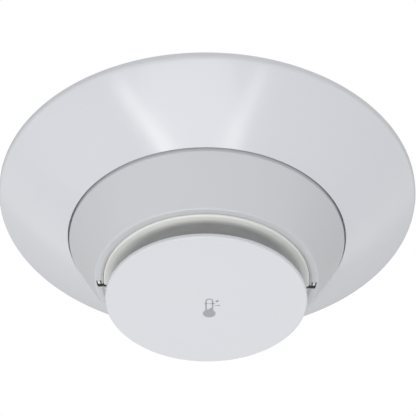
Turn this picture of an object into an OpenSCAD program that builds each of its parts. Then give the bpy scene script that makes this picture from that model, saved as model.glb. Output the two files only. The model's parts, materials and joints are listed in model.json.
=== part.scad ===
// Ceiling heat detector: a twist-lock sensor head on a base with a wide trim skirt.
// Millimetres, +Z up. The origin is the centre of the ceiling face and the detector hangs below it,
// so most heights are given as depths: how far something lies below the ceiling.

/* [Trim skirt] */
// Outside diameter of the trim skirt
trim_d = 155; // [150:0.5:190]
// Depth of the edge of the skirt's hole
trim_depth = 20.1; // [18:0.1:24]
// Wall of the trim skirt
trim_wall = 1.8; // [1.4:0.1:2.4]
// Height of the upright lip around the outside of the skirt
lip_h = 2.4; // [1.6:0.1:4]
// Width of the lip where it rests on the ceiling
lip_w = 2.6; // [2:0.1:4]
// How far the sloping face bulges between its two edges
trim_crown = 0.7; // [0:0.1:1.5]
// Rounding of the skirt's edge at the lip
lip_round = 1.8; // [0.3:0.1:2]
// Rounding of the skirt's edge at the hole
hole_round = 0.2; // [0.1:0.05:0.6]
// Height of the collar around the skirt's hole
collar_h = 4; // [3:0.1:5]
// Stiffening ribs behind the skirt
trim_ribs = 12; // [6:1:24]
// Thickness of a stiffening rib
trim_rib_t = 1.2; // [0.8:0.1:2]
// Height of a stiffening rib at the hole
trim_rib_h = 3; // [1:0.1:4]
// Snap fingers that hold the skirt on the base
snap_fingers = 6; // [3:1:8]
// Width of a snap finger
finger_w = 8; // [5:0.5:12]
// Thickness of a snap finger
finger_t = 1.4; // [1:0.1:2]

/* [Mounting base] */
// Thickness of the base plate
plate_t = 2.2; // [1.8:0.1:3]
// Wall around the base
base_wall = 1.4; // [1.2:0.1:2]
// Diameter of the cable opening in the middle of the base
cable_hole_d = 36; // [30:1:38]
// Spacing of the wide pair of ceiling box screws
wide_spacing = 88.9; // [80:0.1:90]
// Spacing of the narrow pair of ceiling box screws
narrow_spacing = 69.85; // [60:0.05:72]
// Width of a screw slot
slot_w = 4.6; // [3.5:0.1:5]
// Length of a screw slot from end to end
slot_l = 7; // [6:0.1:8]
// Height of the snap rib around the base
snap_rib_h = 1.5; // [1:0.1:2]
// How far the snap rib stands out
snap_rib_reach = 0.9; // [0.7:0.1:1.2]
// Depth of the top of the snap rib
snap_rib_depth = 5.5; // [5:0.1:7]

/* [Twist lock] */
// Angle that the head turns from locked to free
unlock_turn = 18; // [16:1:24]
// Angle covered by a lug on the head
lug_span = 14; // [10:1:15]
// Angle covered by a ledge in the base
ledge_span = 16; // [12:1:16]
// Thickness of a lug
lug_t = 1.6; // [1.2:0.1:2]
// Thickness of a ledge
ledge_t = 1.8; // [1.4:0.1:2.4]
// How far a ledge stands in from the base wall
ledge_reach = 2; // [1.6:0.1:2.2]

/* [Terminals] */
// Height of a terminal block on the base plate
block_h = 2.8; // [2.2:0.1:4]
// Width of a terminal block
block_w = 11; // [10:0.5:12]
// Skin left under the hollows behind the terminal blocks
block_skin = 1.4; // [1:0.1:1.8]
// Depth of the hollow ring behind the base plate
back_groove_h = 0.8; // [0.4:0.1:1]
// Width of a terminal strip
strip_w = 9; // [7:0.5:9.5]
// Thickness of a terminal strip
strip_t = 0.8; // [0.6:0.1:1]
// Distance from the centre to the inner end of a strip
strip_inner_r = 23.5; // [22:0.5:25]
// Distance from the centre to a terminal screw
terminal_screw_r = 37; // [36:0.5:38]
// Thickness of a contact leaf
leaf_t = 0.5; // [0.3:0.1:0.6]
// Space between a strip and its contact leaf
leaf_space = 0.7; // [0.5:0.1:1]
// Length of a contact leaf
leaf_l = 8.5; // [6:0.5:9]
// Diameter of a terminal screw's thread
terminal_thread_d = 3.4; // [3:0.1:4]
// Diameter of a terminal screw's head
terminal_head_d = 6.8; // [5.5:0.1:7]
// Height of a terminal screw's head
terminal_head_h = 2.1; // [1.6:0.1:2.6]
// Side of the square wire clamp
clamp_w = 8; // [7:0.5:8.5]
// Thickness of the wire clamp
clamp_t = 0.9; // [0.6:0.1:1.2]

/* [Tamper lever] */
// Length of the lever from its hinge to its tip
lever_l = 20; // [16:0.5:22]
// Width of the lever
lever_w = 4; // [3:0.5:5]
// Thickness of the lever
lever_t = 1.4; // [1:0.1:1.8]
// Depth of the lever's upper face
lever_depth = 4.4; // [4.4:0.1:5]
// Length of the tooth at the lever's tip
tooth_l = 2.4; // [1.6:0.1:3]

/* [Detector head] */
// Diameter of the head's rim, inside the skirt's hole
head_d = 100.8; // [99:0.1:122]
// Height of the straight rim above the sloping cover
head_rim_h = 5.5; // [3:0.1:6]
// Wall of the head's cover
head_wall = 1.8; // [1.4:0.1:2.4]
// Diameter of the ring at the low end of the cover
ring_d = 80.4; // [79:0.1:84]
// Depth of the ring below the ceiling
ring_depth = 38.8; // [38:0.1:46]
// Rounding between the sloping cover and the ring's face
ring_round = 1.1; // [0.4:0.1:1.4]
// Width of the cover's edge on the ring, up to its bevel
ring_band_w = 2.1; // [1.8:0.05:2.4]
// Width of the bevel that runs up to the seam between the cover and the throat
ring_bevel_w = 0.9; // [0.5:0.05:1.2]
// Height of that bevel
ring_bevel_h = 0.4; // [0.2:0.05:0.6]
// Width of the throat's edge on the ring
throat_band_w = 2; // [1.4:0.05:2.4]
// Rounding of the throat's edge at the seam
throat_round = 0.7; // [0.3:0.1:0.9]
// How far the throat's edge stands below the cover's edge
throat_step = 0.3; // [0:0.1:0.8]
// Width of the curve that rises from the throat's edge to its floor
cove_w = 8.5; // [6:0.1:9]
// Height of that curve
cove_h = 2.9; // [2:0.1:4]
// Thickness of the throat's floor
floor_t = 1.6; // [1.2:0.1:2.2]

/* [Back cover] */
// Thickness of the back cover
back_t = 1.8; // [1.4:0.1:2.2]
// Wall around the back cover
back_wall = 1.8; // [1.4:0.1:2.2]
// Height of the rim above the back cover's face
back_rim_h = 1.9; // [1.8:0.1:2.2]
// Diameter of a cover screw's thread
cover_thread_d = 3; // [2.5:0.1:3.2]
// Diameter of a cover screw's head
cover_head_d = 5.6; // [5:0.1:6]
// Height of a cover screw's head
cover_head_h = 1.8; // [1.4:0.1:2.2]
// Length of a cover screw below its head
cover_screw_l = 12; // [9:0.5:13]
// Wall around a screw in its well or its boss
screw_wall = 1.2; // [1:0.1:1.5]

/* [Cap] */
// Diameter of the flat cap
cap_d = 72.3; // [60:0.1:76]
// Thickness of the cap at its edge
cap_t = 1.7; // [1.4:0.1:2.4]
// Height of the air gap between the ring's edge and the cap
air_gap = 7.5; // [5:0.1:10]
// Rounding of the cap's lower edge
cap_round = 0.6; // [0.3:0.1:0.8]
// Vanes that carry the cap
cap_vanes = 4; // [3:1:6]
// Thickness of a vane
vane_t = 1.6; // [1.2:0.1:2]
// Distance from a vane's outer end to the throat's curve around it
vane_inset = 3.5; // [2:0.1:6]
// Distance from the centre to the inner end of a vane
vane_inner_r = 12; // [8:0.5:16]
// Diameter of a vane's peg in the throat's floor
peg_d = 2.6; // [2:0.1:3.2]

/* [Status windows] */
// Width of a window's opening around the ring
window_w = 3.6; // [3:0.1:4.5]
// How far the opening's near edge lies in front of the centre line
window_front = 0.2; // [0:0.1:1]
// Distance from the ring's edge to the opening's outer side
window_edge = 0.4; // [0.3:0.1:0.8]
// How far the opening's outer side leans in over its width
window_lean = 0.5; // [0:0.1:0.8]
// Width of the light shield's dark bar, beside the light pipe
bar_w = 1.7; // [1.2:0.1:2]
// Distance from the centre to the dark bar's inner end
bar_inner_r = 36.1; // [35.6:0.1:36.6]
// How far the light shield's face lies inside the ring's face
shield_recess = 0.3; // [0.1:0.1:0.8]
// Height of the light shield
shield_h = 4; // [3:0.1:5]
// Wall of the light shield on the outer side of the light pipe
shield_wall = 0.3; // [0.2:0.05:0.4]
// Width of the light pipe across the ring
pipe_w = 0.85; // [0.7:0.05:0.95]
// How far the light pipe leans in over its length around the ring
pipe_lean = 0.25; // [0:0.05:0.35]
// How far the light pipe's end lies inside the ring's face
pipe_recess = 0.1; // [0:0.1:0.6]

/* [Circuit board] */
// Thickness of the circuit board
board_t = 1.6; // [1:0.1:2]
// Length of the thermistor below the throat's floor
sensor_reach = 6.2; // [5:0.1:8]
// Diameter of the thermistor's bead
bead_d = 2.8; // [2:0.1:3.2]
// Diameter of a thermistor lead
lead_d = 0.6; // [0.4:0.1:0.8]
// Distance between the two thermistor leads
lead_pitch = 1.8; // [1.4:0.1:2]
// Outside diameter of the thermistor's sleeve
sleeve_d = 5.2; // [4.6:0.1:6]
// Side of an address switch
switch_w = 10; // [9:0.5:10.5]
// Distance between the two address switches
switch_pitch = 17; // [15:0.5:19]
// Diameter of an address dial
dial_d = 7.8; // [6:0.1:8]
// Thickness of an address dial
dial_t = 1.9; // [1.4:0.1:2.2]
// Diameter of a dial's shaft
dial_shaft_d = 3; // [2:0.1:3.5]

/* [Clearances] */
// Radial gap between the skirt's hole and the head
skirt_gap = 0.35; // [0.3:0.05:1]
// Gap between the snap rib and what snaps over it
snap_gap = 0.2; // [0.1:0.05:0.4]
// Gap between moving faces of the twist lock
lock_gap = 0.3; // [0.2:0.05:0.5]
// Gap around pieces that are fitted and then stay put
fit_gap = 0.1; // [0.05:0.05:0.2]
// Radial running clearance of a dial's shaft
shaft_gap = 0.05; // [0.02:0.01:0.1]
// Gap between a terminal's leaf and the head's blade
contact_gap = 0.2; // [0.1:0.05:0.4]

/* [Hidden] */
$fn = 96;
cut = 1;  // how far a cutting shape runs past what it cuts
bite = 0.5;  // how far two shapes of one piece run into each other
terminal_angles = [45, 135, 225, 315];
lock_angles = [30, 150, 270];
cover_screw_angles = [90, 210, 330];
sides = [-1, 1];

// Radii, from the head outwards
head_r = head_d / 2;
hole_r = head_r + skirt_gap;
trim_r = trim_d / 2;
base_r = head_r - 0.4;
base_inner_r = base_r - base_wall;
snap_rib_r = base_r + snap_rib_reach;
finger_r = snap_rib_r + snap_gap;
lug_r = base_inner_r - 0.4;
ledge_inner_r = base_inner_r - ledge_reach;
back_r = ledge_inner_r - 1.2;
shoulder_inner_r = back_r + lock_gap;
flange_r = head_r - head_wall - fit_gap;
board_r = back_r - 0.4;
blade_r = strip_inner_r + leaf_l / 2 + 0.25;

// Depths, from the ceiling down
seat_depth = plate_t + block_h;
strip_bottom = seat_depth + strip_t;
leaf_bottom = strip_bottom + leaf_space + leaf_t;
screw_bottom = strip_bottom + clamp_t + terminal_head_h;
back_depth = screw_bottom + 1.4;
back_rim_top = back_depth - back_rim_h;
lug_top = back_rim_top + 0.3;
ledge_top = lug_top + lug_t + lock_gap;
base_depth = ledge_top + ledge_t + 1;
flange_top = base_depth + 0.8;
flange_t = 1.6;
head_top = flange_top + flange_t;
cone_top = head_top + head_rim_h;
board_top = head_top + 4.6;
board_bottom = board_top + board_t;
floor_depth = ring_depth + throat_step - cove_h;
floor_top = floor_depth - floor_t;
throat_flange_t = 1.6;
throat_seat = ring_depth - 5.8;
cap_top = ring_depth + air_gap;
cap_depth = cap_top + cap_t;

// The sloping cover
ring_r = ring_d / 2;
band_inner_r = ring_r - ring_band_w;
seam_r = band_inner_r - ring_bevel_w;
throat_r = seam_r - fit_gap;
throat_inner_r = throat_r - throat_band_w;
throat_wall_r = throat_inner_r - 1.2;
cove_r = throat_inner_r - cove_w;
vane_outer_r = cove_r - vane_inset;
cone_slope = atan((ring_depth - cone_top) / (head_r - ring_r));
function cone_r(depth) = ring_r + (head_r - ring_r) * (ring_depth - depth) / (ring_depth - cone_top);
throat_flange_r = cone_r(throat_seat) - head_wall - 2 * fit_gap;

// The cover screws' bosses run into the throat's wall
boss_r = cover_thread_d / 2 + screw_wall;
cover_screw_r = throat_wall_r - boss_r + 0.6;

// The trim skirt's sloping face, from the lip (u = 0) to the hole (u = 1)
trim_slope = atan((trim_depth - lip_h) / (trim_r - hole_r));
trim_rise = trim_wall / cos(trim_slope);
function face_r(u) = trim_r - u * (trim_r - hole_r);
function face_z(u) = -lip_h - u * (trim_depth - lip_h) - 4 * trim_crown * u * (1 - u);
function face_u(r) = (trim_r - r) / (trim_r - hole_r);
function inner_z(u) = face_z(u) + trim_rise;

// Points along an arc in the plane of a profile
function arc(centre, r, from, to, steps = 5) =
  [for (i = [0:steps]) let (a = from + (to - from) * i / steps) centre + r * [cos(a), sin(a)]];

// A ring with a rectangular section, between two depths
module tube(r_out, r_in, top, bottom) {
  rotate_extrude() translate([r_in, -bottom]) square([r_out - r_in, bottom - top]);
}

// The same ring over part of a turn, centred on an angle
module sector(r_out, r_in, top, bottom, middle, span) {
  rotate([0, 0, middle - span / 2]) rotate_extrude(angle = span)
    translate([r_in, -bottom]) square([r_out - r_in, bottom - top]);
}

// A disc between two depths
module disc(r, top, bottom) {
  translate([0, 0, -bottom]) cylinder(h = bottom - top, r = r);
}

// A box centred on its place, between two depths
module block(size, top, bottom) {
  translate([-size.x / 2, -size.y / 2, -bottom]) cube([size.x, size.y, bottom - top]);
}

// Copies around the axis, each moved out along its own radius
module around(angles, r = 0) {
  for (a = angles) rotate([0, 0, a]) translate([r, 0, 0]) children();
}

// A straight slot with round ends, cut between two depths
module slot_cut(length, width, top, bottom) {
  for (x = sides) translate([x * (length - width) / 2, 0, 0]) disc(width / 2, top, bottom);
  block([length - width, width], top, bottom);
}

// Moves its children to both sides, mirrored left to right
module both_sides() {
  for (x = [0, 1]) mirror([x, 0, 0]) children();
}

// ---- Trim skirt ----

trim_steps = 10;

function trim_outline() = let (
    collar_u = face_u(hole_r + trim_wall), lip_u = face_u(trim_r - lip_w),
    lip_round_z = face_z(face_u(trim_r - lip_round)) + lip_round / cos(trim_slope),
    hole_round_z = face_z(face_u(hole_r + hole_round)) + hole_round / cos(trim_slope))
  concat(
    [[trim_r, 0]],
    arc([trim_r - lip_round, lip_round_z], lip_round, 0, trim_slope - 90),
    [for (i = [1:trim_steps - 1]) let (u = i / trim_steps) [face_r(u), face_z(u)]],
    arc([hole_r + hole_round, hole_round_z], hole_round, trim_slope - 90, -180),
    [[hole_r, collar_h - trim_depth], [hole_r + trim_wall, collar_h - trim_depth]],
    [for (i = [trim_steps:-1:0]) let (u = lip_u + (collar_u - lip_u) * i / trim_steps)
      [face_r(u), inner_z(u)]],
    [[trim_r - lip_w, 0]]);

module trim_rib() {
  inner_u = face_u(hole_r + trim_wall / 2);
  outer_u = face_u(trim_r - lip_w / 2);
  rotate([90, 0, 0]) linear_extrude(trim_rib_t, center = true) polygon(concat(
    [for (i = [0:trim_steps]) let (u = inner_u + (outer_u - inner_u) * i / trim_steps)
      [face_r(u), inner_z(u) - trim_rise / 2]],
    [[face_r(outer_u), inner_z(outer_u)], [face_r(inner_u), inner_z(inner_u) + trim_rib_h]]));
}

module snap_finger() {
  hook_bottom = snap_rib_depth - fit_gap;
  hook_h = 1.4;
  top = hook_bottom - hook_h;
  translate([finger_r + finger_t / 2, 0, 0])
    block([finger_t, finger_w], top, trim_depth - collar_h + bite);
  hook_r = base_r + snap_gap;
  translate([(hook_r + finger_r) / 2 + bite / 2, 0, 0])
    block([finger_r - hook_r + bite, finger_w], top, hook_bottom);
}

module trim_skirt() {
  color("whitesmoke") {
    rotate_extrude() polygon(trim_outline());
    around([for (i = [0:trim_ribs - 1]) (i + 0.5) * 360 / trim_ribs]) trim_rib();
    around([for (i = [0:snap_fingers - 1]) i * 360 / snap_fingers]) snap_finger();
  }
}

// ---- Mounting base ----

block_inner_r = strip_inner_r - 1;
block_outer_r = terminal_screw_r + 5;
lever_r = (lug_r + back_r) / 2 - lever_w / 2 - 1;
lever_angle = lock_angles[2] - lug_span / 2 - 16.5;
lever_gap = 0.2;
stop_span = 2.6;
hollow_outer_r = terminal_screw_r - terminal_thread_d / 2 - block_skin;

module screw_slots(spacing) {
  for (x = sides) translate([x * spacing / 2, 0, 0])
    slot_cut(slot_l, slot_w, -cut, plate_t + cut);
}

module mounting_base() {
  color("gainsboro") difference() {
    union() {
      disc(base_r, 0, plate_t);
      tube(base_r, base_inner_r, 0, base_depth);
      tube(snap_rib_r, base_r - bite, snap_rib_depth, snap_rib_depth + snap_rib_h);
      tube(cable_hole_d / 2 + 1.6, cable_hole_d / 2, 0, seat_depth);
      around(terminal_angles, (block_inner_r + block_outer_r) / 2)
        block([block_outer_r - block_inner_r, block_w], plate_t - bite, seat_depth);
      for (a = lock_angles) {
        sector(base_r - bite, ledge_inner_r, ledge_top, ledge_top + ledge_t, a, ledge_span);
        stop_angle = a + lug_span / 2 + 0.4 + stop_span / 2;
        sector(base_r - bite, ledge_inner_r, plate_t - bite, ledge_top + bite, stop_angle, stop_span);
      }
      free_stop_angle = lock_angles[1] - lug_span / 2 - unlock_turn - 0.4 - stop_span / 2;
      sector(base_r - bite, ledge_inner_r, plate_t - bite, ledge_top + bite, free_stop_angle, stop_span);
      around([lever_angle], lever_r) translate([0, -lever_l / 2 - 2 - lever_gap, 0])
        block([lever_w, 4], plate_t - bite, lever_depth + lever_t);
    }
    disc(cable_hole_d / 2, -cut, seat_depth + cut);
    screw_slots(wide_spacing);
    rotate([0, 0, 90]) screw_slots(narrow_spacing);
    around(terminal_angles, (block_inner_r + block_skin + hollow_outer_r) / 2)
      block([hollow_outer_r - block_inner_r - block_skin, block_w - 2 * block_skin],
        -cut, seat_depth - block_skin);
    for (a = [0:90:270])
      sector(base_inner_r - 1, base_inner_r - 5, -cut, back_groove_h, a + 45, 54);
    around(terminal_angles, terminal_screw_r)
      disc(terminal_thread_d / 2 + fit_gap, 1, seat_depth + cut);
  }
}

// ---- Terminals ----

module terminal_strip() {
  // Side outline: the flat strip, folded over at its inner end into the contact leaf
  outer = block_outer_r - 0.5;
  inner = strip_inner_r;
  rotate([90, 0, 0]) linear_extrude(strip_w, center = true) polygon([
    [outer, -seat_depth], [inner, -seat_depth], [inner, -leaf_bottom], [inner + leaf_l, -leaf_bottom],
    [inner + leaf_l, leaf_t - leaf_bottom], [inner + strip_t, leaf_t - leaf_bottom],
    [inner + strip_t, -strip_bottom], [outer, -strip_bottom]]);
}

module terminal_strips() {
  color("khaki") around(terminal_angles) difference() {
    terminal_strip();
    translate([terminal_screw_r, 0, 0])
      disc(terminal_thread_d / 2 + fit_gap, seat_depth - cut, strip_bottom + cut);
  }
}

module terminal_clamps() {
  turned_edge = 0.6;
  color("silver") around(terminal_angles, terminal_screw_r) difference() {
    union() {
      block([clamp_w, clamp_w], strip_bottom, strip_bottom + clamp_t);
      for (y = sides) translate([0, y * (clamp_w - turned_edge) / 2, 0])
        block([clamp_w, turned_edge], strip_bottom, strip_bottom + clamp_t + turned_edge);
    }
    disc(terminal_thread_d / 2 + fit_gap, strip_bottom - cut, strip_bottom + clamp_t + cut);
  }
}

module cross_recess(width, depth, top, bottom) {
  for (a = [0, 90]) rotate([0, 0, a]) block([width, width / 4], top, bottom);
}

module terminal_screws() {
  head_top_depth = strip_bottom + clamp_t;
  color("silver") around(terminal_angles, terminal_screw_r) difference() {
    union() {
      disc(terminal_thread_d / 2, 1.2, head_top_depth + bite);
      disc(terminal_head_d / 2, head_top_depth, screw_bottom);
    }
    cross_recess(terminal_head_d * 0.6, 1, screw_bottom - 1.2, screw_bottom + cut);
  }
}

// ---- Tamper lever ----

module tamper_lever() {
  arm_bottom = lever_depth + lever_t;
  tooth_bottom = back_rim_top - contact_gap;
  tooth_out = sqrt(pow(lug_r, 2) - pow(lever_l / 2, 2)) - lever_r;
  color("white") around([lever_angle], lever_r) {
    block([lever_w, lever_l], lever_depth, arm_bottom);
    translate([(tooth_out - lever_w / 2) / 2, (lever_l - tooth_l) / 2, 0])
      block([tooth_out + lever_w / 2, tooth_l], arm_bottom - bite, tooth_bottom);
  }
}

// ---- Back cover of the head ----

well_inner_r = cover_head_d / 2 + 0.3;
well_r = well_inner_r + screw_wall;
well_floor = 2;
blade_w = 5;
blade_t = 0.8;

module back_cover() {
  color("white") difference() {
    union() {
      disc(back_r, back_depth, back_depth + back_t);
      tube(back_r, back_r - back_wall, back_rim_top, board_top);
      tube(flange_r, back_r - bite, flange_top, head_top);
      for (a = lock_angles) sector(lug_r, back_r - bite, lug_top, lug_top + lug_t, a, lug_span);
      around(cover_screw_angles, cover_screw_r) disc(well_r, back_depth + bite, board_top);
    }
    around(cover_screw_angles, cover_screw_r) {
      disc(well_inner_r, back_depth - cut, board_top - well_floor);
      disc(cover_thread_d / 2 + fit_gap, back_depth, board_top + cut);
    }
    around(terminal_angles, blade_r)
      block([blade_t + 2 * fit_gap, blade_w + 2 * fit_gap], back_depth - cut, back_depth + back_t + cut);
    for (x = sides) translate([x * switch_pitch / 2, 0, 0])
      disc(dial_d / 2 + 0.4, back_depth - cut, back_depth + back_t + cut);
  }
}

module cover_screws() {
  seat = board_top - well_floor;
  color("silver") around(cover_screw_angles, cover_screw_r) difference() {
    union() {
      disc(cover_head_d / 2, seat - cover_head_h, seat);
      disc(cover_thread_d / 2, seat - bite, seat + cover_screw_l);
    }
    cross_recess(cover_head_d * 0.6, 1, seat - cover_head_h - cut, seat - cover_head_h + 1);
  }
}

// ---- Contact blades: bent strips from the circuit board to the base's leaves ----

module contact_blades() {
  foot = 4;
  color("gold") around(terminal_angles, blade_r) {
    block([blade_t, blade_w], leaf_bottom + contact_gap, board_top);
    translate([(foot - blade_t) / 2, 0, 0]) block([foot, blade_w], board_top - blade_t, board_top);
  }
}

// ---- Head cover: the sloping shell ----

window_inner_r = band_inner_r - 0.2;
window_back = window_w - window_front;
bar_y = window_back - bar_w;
window_top = throat_seat - throat_flange_t - fit_gap;
function window_outer_r(y) = ring_r - window_edge - window_lean * (y + window_front) / window_w;

// The window's outline in the ring, or that of a piece that fits in it with a gap all around:
// a part for the light pipe and, beside it, a longer bar
function window_outline(gap) = let (front = gap - window_front, back = window_back - gap) [
  [window_inner_r + gap, front], [window_outer_r(front) - gap, front], [window_outer_r(back) - gap, back],
  [bar_inner_r + gap, back], [bar_inner_r + gap, bar_y + gap], [window_inner_r + gap, bar_y + gap]];

module window_cut() {
  low = ring_depth + throat_step + cut;
  translate([0, 0, -low]) linear_extrude(low - window_top) polygon(window_outline(0));
}

module head_cover() {
  edge = 0.5;
  seat_r = cone_r(throat_seat) - head_wall;
  outline = concat(
    [[shoulder_inner_r, -head_top]],
    arc([head_r - edge, -head_top - edge], edge, 90, 0),
    [[head_r, -cone_top]],
    arc([ring_r - ring_round * tan(cone_slope / 2), ring_round - ring_depth], ring_round,
      cone_slope - 90, -90),
    [[band_inner_r, -ring_depth], [seam_r, ring_bevel_h - ring_depth], [seam_r, -throat_seat],
      [seat_r, -throat_seat],
      [head_r - head_wall, -cone_top], [head_r - head_wall, -head_top - head_wall],
      [shoulder_inner_r, -head_top - head_wall]]);
  color("whitesmoke") difference() {
    rotate_extrude() polygon(outline);
    both_sides() window_cut();
  }
}

// ---- Throat ring: the inner edge of the ring, the curve inside it and the floor above the air gap ----

sleeve_hole_r = sleeve_d / 2 + fit_gap;
peg_r = (vane_inner_r + vane_outer_r) / 2;
vane_angles = [for (i = [0:cap_vanes - 1]) (i + 0.5) * 360 / cap_vanes];

module throat_ring() {
  cove_steps = 12;
  low = ring_depth + throat_step;
  outline = concat(
    [[sleeve_hole_r, -floor_depth]],
    [for (i = [0:cove_steps]) let (u = i / cove_steps)
      [cove_r + cove_w * u, -low + cove_h * (1 + cos(180 * u)) / 2]],
    arc([throat_r - throat_round, throat_round - low], throat_round, -90, 0),
    [[throat_r, -throat_seat], [throat_flange_r, -throat_seat],
      [throat_flange_r, throat_flange_t - throat_seat], [throat_wall_r, throat_flange_t - throat_seat],
      [throat_wall_r, -floor_top], [sleeve_hole_r, -floor_top]]);
  color("whitesmoke") difference() {
    union() {
      rotate_extrude() polygon(outline);
      around(cover_screw_angles, cover_screw_r) disc(boss_r, board_bottom, floor_top + bite);
    }
    both_sides() window_cut();
    around(cover_screw_angles, cover_screw_r)
      disc(cover_thread_d / 2 + shaft_gap, board_bottom - cut, floor_top - 0.5);
    around(vane_angles, peg_r) disc(peg_d / 2 + fit_gap, floor_top - cut, floor_depth + cut);
  }
}

// ---- Cap: the flat disc, the vanes that carry it and their pegs ----

module cap_disc() {
  r = cap_d / 2;
  top_edge = 0.3;
  outline = concat([[0, -cap_depth]],
    arc([r - cap_round, cap_round - cap_depth], cap_round, -90, 0),
    arc([r - top_edge, -cap_top - top_edge], top_edge, 0, 90, 3), [[0, -cap_top]]);
  color("white") {
    rotate_extrude() polygon(outline);
    around(vane_angles, peg_r) {
      block([vane_outer_r - vane_inner_r, vane_t], floor_depth, cap_top + bite);
      disc(peg_d / 2, floor_top - 1.4, floor_depth + bite);
    }
  }
}

// ---- Status lights ----

pipe_front = shield_wall + fit_gap - window_front;
pipe_outer_r = window_outer_r(pipe_front) - shield_wall - fit_gap;
pipe_y = (pipe_front + bar_y) / 2;
pipe_head_w = 3;
pipe_head_h = 1.6;
led = [3, 2.4, 1.2];
led_r = board_r - led.x - 3.35;

// The light pipe's outline, or that of the hole around it
function pipe_outline(gap) = let (outer = pipe_outer_r + gap, inner = pipe_outer_r - pipe_w - gap) [
  [inner, pipe_front - gap], [outer, pipe_front - gap],
  [outer - pipe_lean, bar_y + gap], [inner - pipe_lean, bar_y + gap]];

module light_pipes() {
  top = board_bottom + led.z + 0.3;
  bottom = ring_depth - pipe_recess;
  middle_r = pipe_outer_r - (pipe_w + pipe_lean) / 2;
  color("lightcyan") both_sides() {
    translate([0, 0, -bottom]) linear_extrude(bottom - top) polygon(pipe_outline(0));
    translate([(middle_r + led_r) / 2, pipe_y, 0])
      block([abs(middle_r - led_r) + pipe_head_w, pipe_head_w], top, top + pipe_head_h);
  }
}

// Black inserts that keep the light pipes' light out of the white ring
module light_shields() {
  bottom = ring_depth - shield_recess;
  color("black") both_sides() difference() {
    translate([0, 0, -bottom]) linear_extrude(shield_h) polygon(window_outline(fit_gap));
    translate([0, 0, -bottom - cut]) linear_extrude(shield_h + 2 * cut) polygon(pipe_outline(shaft_gap));
  }
}

module status_leds() {
  color("ivory") both_sides() translate([led_r, pipe_y, 0])
    block([led.x, led.y], board_bottom, board_bottom + led.z);
}

// ---- Circuit board and what it carries ----

module circuit_board() {
  color("darkgreen") difference() {
    disc(board_r, board_top, board_bottom);
    around(cover_screw_angles, cover_screw_r)
      disc(cover_thread_d / 2 + fit_gap, board_top - cut, board_bottom + cut);
    for (x = sides) translate([x * lead_pitch / 2, 0, 0])
      disc(lead_d / 2 + fit_gap, board_top - cut, board_bottom + cut);
  }
}

dial_bottom = back_depth + 0.3 + dial_t;
shaft_l = 2;

module address_switches() {
  color("dimgray") for (x = sides) translate([x * switch_pitch / 2, 0, 0]) difference() {
    block([switch_w, switch_w], dial_bottom + lock_gap, board_top);
    disc(dial_shaft_d / 2 + shaft_gap, dial_bottom, dial_bottom + shaft_l + 0.3);
  }
}

module dial(side) {
  slot = [dial_d * 0.7, 1.1];
  translate([side * switch_pitch / 2, 0, 0]) difference() {
    union() {
      disc(dial_d / 2, dial_bottom - dial_t, dial_bottom);
      disc(dial_shaft_d / 2, dial_bottom - bite, dial_bottom + shaft_l);
    }
    block(slot, dial_bottom - dial_t - cut, dial_bottom - dial_t + 0.9);
  }
}

module tens_dial() {
  color("white") dial(-1);
}

module ones_dial() {
  color("white") dial(1);
}

module microcontroller() {
  side = 9;
  body_h = 1.2;
  pin = [0.35, 1.2];
  pitch = 1;
  top = board_bottom + 0.1;
  color("black") translate([0, 16, 0]) {
    block([side, side], top, top + body_h);
    for (turn = [0:90:270], i = [-3:3]) rotate([0, 0, turn])
      translate([i * pitch, side / 2 + pin.y / 2 - 0.2, 0]) block(pin, board_bottom, board_bottom + 0.5);
  }
}

module capacitors() {
  color("slategray") for (x = sides) translate([x * 15, -14, 0]) disc(3.15, board_bottom, board_bottom + 7.7);
}

module surge_suppressor() {
  color("black") translate([-24, 8, 0]) block([4.4, 2.8], board_bottom, board_bottom + 2.2);
}

module test_reed_switch() {
  color("lightgreen") translate([0, -27, -board_bottom - 1.5]) rotate([0, 90, 0]) {
    cylinder(h = 12, r = 1.1, center = true);
    cylinder(h = 17, r = 0.3, center = true);
    for (z = sides) translate([0, 0, z * 8.3]) rotate([0, -90, 0]) cylinder(h = 1.5, r = 0.3);
  }
}

module chip_parts() {
  size = [2, 1.25];
  color("tan") for (column = [0:3], row = [0:2])
    translate([13 + column * 3.6, 6 + row * 3.4, 0]) block(size, board_bottom, board_bottom + 0.6);
}

// ---- Thermistor, in the air gap above the cap ----

bead_depth = floor_depth + sensor_reach - bead_d / 2;
sleeve_bottom = floor_depth + 2;

module thermistor() {
  color("saddlebrown") translate([0, 0, -bead_depth]) sphere(bead_d / 2);
}

module thermistor_leads() {
  color("silver") difference() {
    for (x = sides) translate([x * lead_pitch / 2, 0, 0]) disc(lead_d / 2, board_top - 0.6, bead_depth);
    translate([0, 0, -bead_depth]) sphere(bead_d / 2);
  }
}

module thermistor_sleeve() {
  collar_r = sleeve_d / 2 + 1;
  color("dimgray") difference() {
    union() {
      disc(sleeve_d / 2, floor_top - 3, sleeve_bottom);
      disc(collar_r, floor_top - 1, floor_top);
    }
    for (x = sides) translate([x * lead_pitch / 2, 0, 0])
      disc(lead_d / 2 + shaft_gap, floor_top - 3 - cut, sleeve_bottom + cut);
  }
}

trim_skirt();
mounting_base();
terminal_strips();
terminal_clamps();
terminal_screws();
tamper_lever();
back_cover();
cover_screws();
contact_blades();
head_cover();
throat_ring();
cap_disc();
light_pipes();
light_shields();
status_leds();
circuit_board();
address_switches();
tens_dial();
ones_dial();
microcontroller();
capacitors();
surge_suppressor();
test_reed_switch();
chip_parts();
thermistor();
thermistor_leads();
thermistor_sleeve();
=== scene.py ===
"""Looks of a ceiling heat detector: its mouldings, metal parts, circuit board and studio."""

import json
import math
import random

import bmesh
import bpy
from mathutils import Matrix, Vector

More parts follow.
